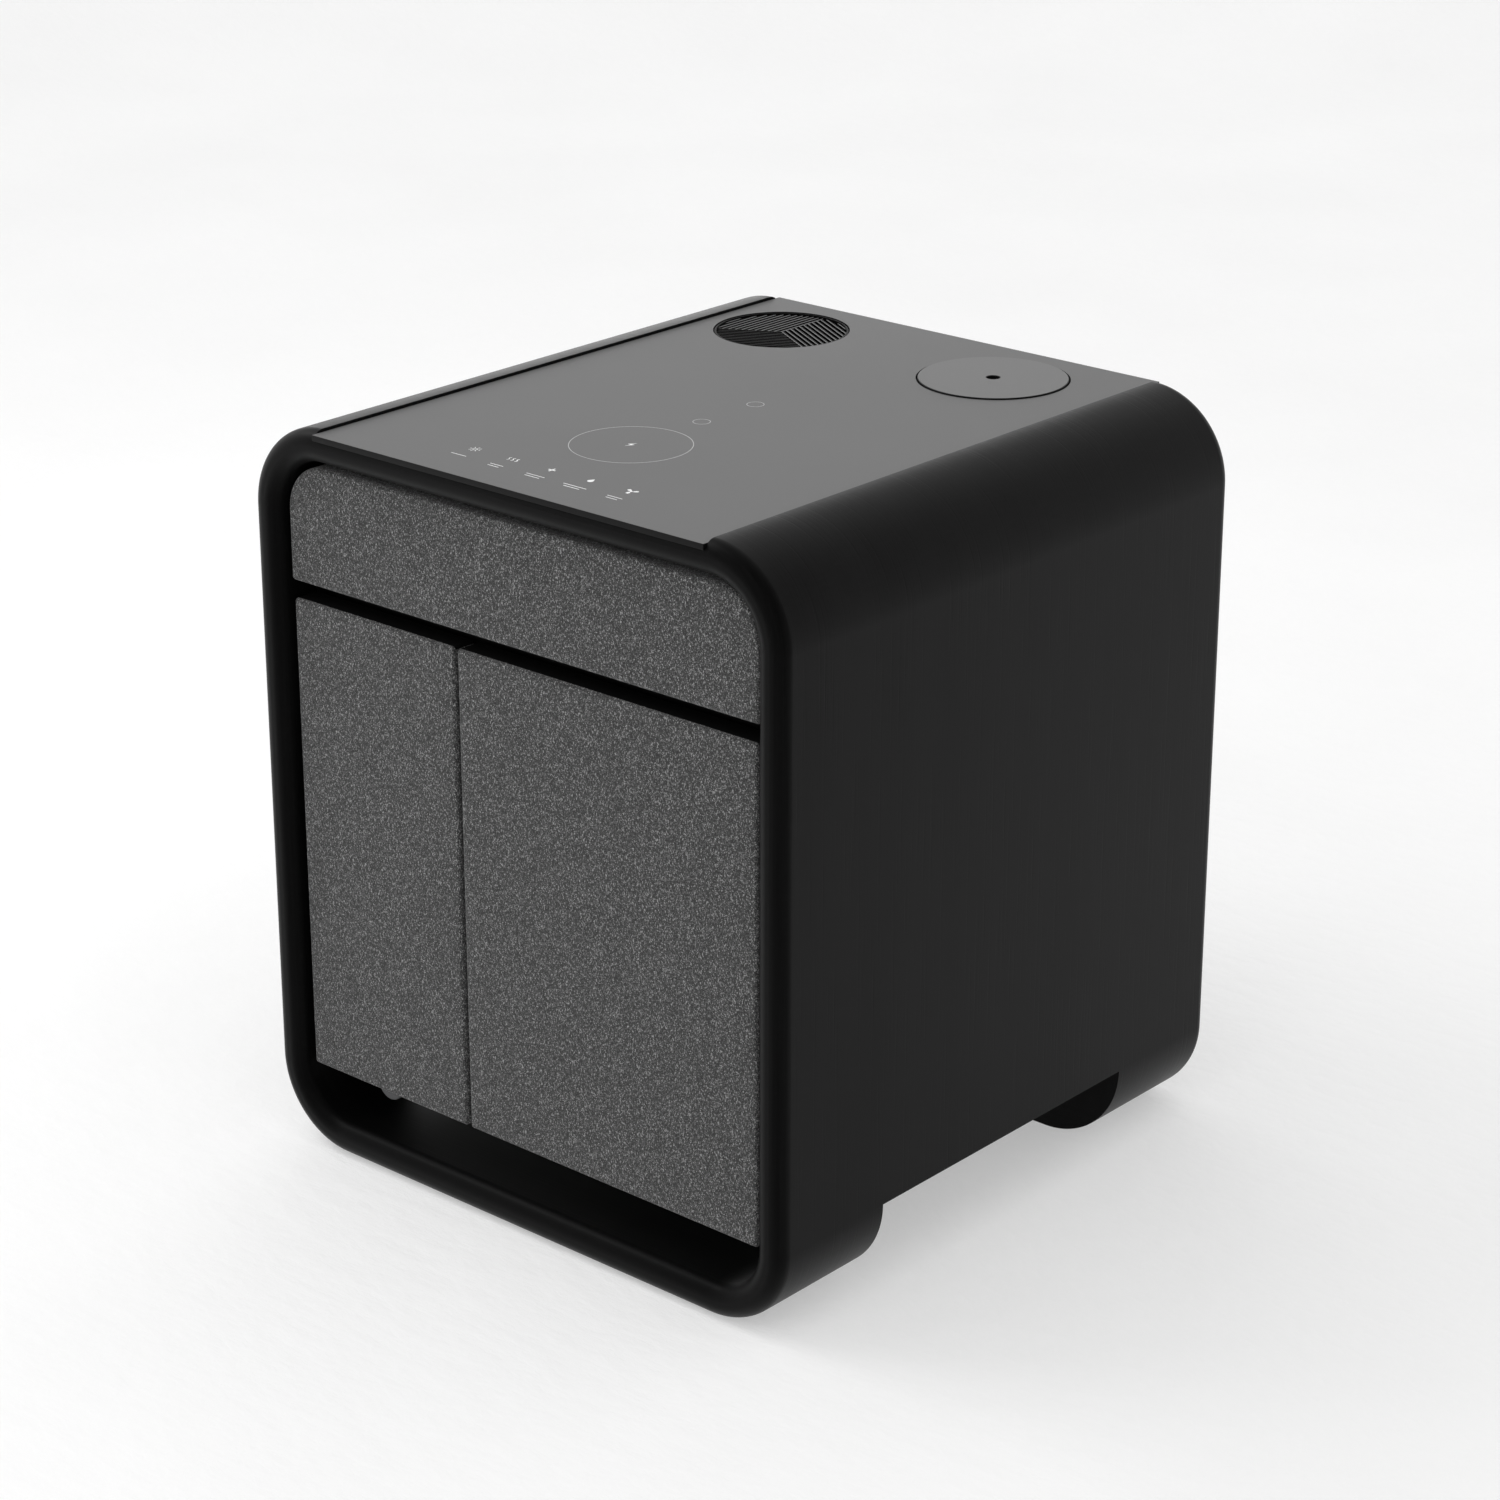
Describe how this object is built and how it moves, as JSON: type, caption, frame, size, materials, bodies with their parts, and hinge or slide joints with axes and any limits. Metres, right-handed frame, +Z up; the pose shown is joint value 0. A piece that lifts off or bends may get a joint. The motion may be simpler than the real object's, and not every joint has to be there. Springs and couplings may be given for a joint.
{
  "type": "smart bedside cabinet hub",
  "caption": "Bedside cabinet hub: bent-wood wrap on leg bands, fabric drawer and doors, glass touch top with charging spot, air outlet and humidifier lid.",
  "frame": {"origin": "on the floor under the middle of the body", "axes": "+Z up, the drawer and doors face -Y, +X to the right seen from the front"},
  "size_m": [0.45, 0.45, 0.51],
  "materials": {
    "stained_ply": "black stained veneer, satin matt, fine grain",
    "grey_glass": "opaque grey back-painted glass, etched matt",
    "melange_fabric": "dark grey melange upholstery weave",
    "black_panel": "black laminated board",
    "raw_ply": "plywood core",
    "drawer_ply": "black stained plywood, satin",
    "dark_plastic": "moulded, fine spark texture",
    "grille_plastic": "black moulded louvre",
    "duct_plastic": "grey moulded duct",
    "fan_plastic": "moulded impeller",
    "filter_plastic": "light grey moulded frame",
    "filter_fleece": "pleated white fleece",
    "lid_plastic": "matt lid in the glass colour",
    "tank_clear": "clear smoke moulded tank",
    "ceramic": "fired ceramic disc",
    "coil_copper": "lacquered copper winding",
    "ferrite": "sintered ferrite",
    "circuit_board": "solder-resist green board",
    "tin_case": "folded tinned case",
    "inlet_plastic": "black moulded socket",
    "runner_steel": "zinc plated drawer runner",
    "hinge_steel": "nickel plated steel",
    "screw_steel": "zinc plated steel",
    "black_screw": "black oxide screws",
    "lamp_diffuser": "opal diffuser",
    "tab_plastic": "smooth grey pull tab",
    "pad_rubber": "rubber foot pad"
  },
  "bodies": {
    "cabinet": {"wrap_frame": "stained_ply", "foot_pads": "pad_rubber", "glass_top": "grey_glass", "top_tray": "dark_plastic", "charging_coil": "coil_copper", "coil_ferrite": "ferrite", "touch_board": "circuit_board", "sensor_board": "circuit_board", "grille_insert": "grille_plastic", "air_duct": "duct_plastic", "fan_frame": "dark_plastic", "fan_screws": "screw_steel", "filter_rails": "dark_plastic", "tank_seat": "dark_plastic", "mist_disc": "ceramic", "tank_shelf": "black_panel", "hub_board": "circuit_board", "power_supply": "tin_case", "mains_inlet": "inlet_plastic", "base_panel": "black_panel", "divider_panel": "black_panel", "mid_panel": "black_panel", "service_wall": "black_panel", "bay_shelf": "black_panel", "shelf_pins": "screw_steel", "back_panel": "black_panel", "rear_cleats": "raw_ply", "back_screws": "black_screw", "light_strip": "lamp_diffuser", "door_magnets": "ferrite", "runner_outer_left": "runner_steel", "runner_outer_right": "runner_steel", "hinge_arms_left": "hinge_steel", "hinge_arms_right": "hinge_steel"},
    "fan": {"fan_rotor": "fan_plastic"},
    "filter": {"filter_frame": "filter_plastic", "filter_media": "filter_fleece"},
    "tank": {"tank_lid": "lid_plastic", "water_tank": "tank_clear"},
    "drawer": {"drawer_front": "raw_ply", "drawer_fabric": "melange_fabric", "drawer_box": "drawer_ply", "runner_inner_left": "runner_steel", "runner_inner_right": "runner_steel"},
    "runners_mid": {"runner_mid_left": "runner_steel", "runner_mid_right": "runner_steel"},
    "door_left": {"door_left": "raw_ply", "door_left_fabric": "melange_fabric", "hinge_pins_left": "hinge_steel", "strike_left": "screw_steel", "pull_tab": "tab_plastic"},
    "door_right": {"door_right": "raw_ply", "door_right_fabric": "melange_fabric", "hinge_pins_right": "hinge_steel", "strike_right": "screw_steel"}
  },
  "joints": [
    {"name": "drawer_slide", "type": "slide", "parent": "cabinet", "child": "drawer", "axis": [0, -1, 0], "range_m": [0, 0.24]},
    {"name": "runners_mid_slide", "type": "slide", "parent": "cabinet", "child": "runners_mid", "axis": [0, -1, 0], "range_m": [0, 0.12]},
    {"name": "door_left_hinge", "type": "hinge", "parent": "cabinet", "child": "door_left", "pos_m": [-0.19, -0.207, 0.2235], "axis": [0, 0, -1], "range_deg": [0, 95]},
    {"name": "door_right_hinge", "type": "hinge", "parent": "cabinet", "child": "door_right", "pos_m": [0.19, -0.207, 0.2235], "axis": [0, 0, 1], "range_deg": [0, 95]},
    {"name": "fan_spin", "type": "hinge", "parent": "cabinet", "child": "fan", "pos_m": [-0.107, 0.16, 0.463], "axis": [0, 0, 1], "continuous": true},
    {"name": "filter_slide", "type": "slide", "parent": "cabinet", "child": "filter", "axis": [0, -1, 0], "range_m": [0, 0.06]},
    {"name": "tank_lift", "type": "slide", "parent": "cabinet", "child": "tank", "axis": [0, 0, 1], "range_m": [0, 0.12]}
  ],
  "couplings": [
    {"joint": "runners_mid_slide", "follows": "drawer_slide", "ratio": 0.5}
  ]
}
